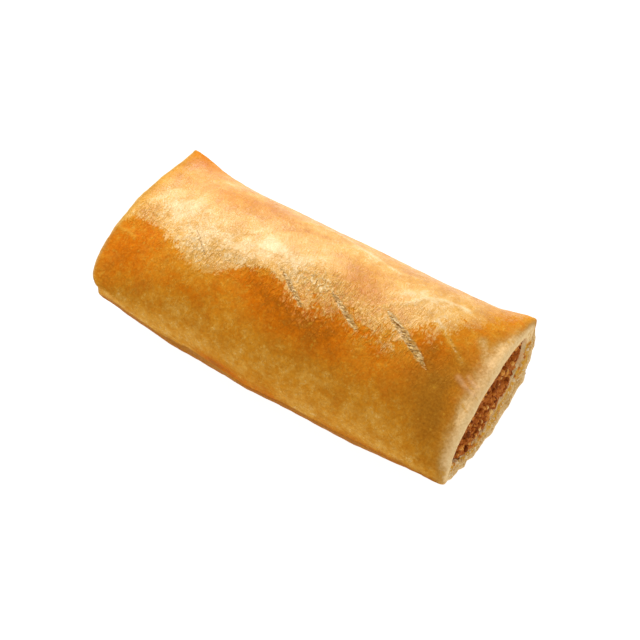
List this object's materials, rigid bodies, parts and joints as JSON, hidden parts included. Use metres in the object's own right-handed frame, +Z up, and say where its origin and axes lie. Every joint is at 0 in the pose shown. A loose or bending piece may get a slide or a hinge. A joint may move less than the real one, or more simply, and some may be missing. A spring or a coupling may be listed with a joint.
{
  "type": "fish roll",
  "caption": "Baked pastry roll with pinched open ends, knife-scored crown and a minced fish filling that runs through it and shows at both ends.",
  "frame": {"origin": "middle of the flat base, at the bottom centre of the bounding box", "axes": "+X along the roll towards the end whose filling the picture shows, +Y across it to the far side, +Z up"},
  "size_m": [0.1378, 0.0668, 0.0385],
  "materials": {
    "pastry": "baked pastry, golden brown on top with an egg-wash sheen, pale and crumbly at the torn ends",
    "filling": "moist cooked mince, reddish brown with paler bits"
  },
  "bodies": {
    "root": {"pastry": "pastry", "filling": "filling"}
  },
  "joints": []
}
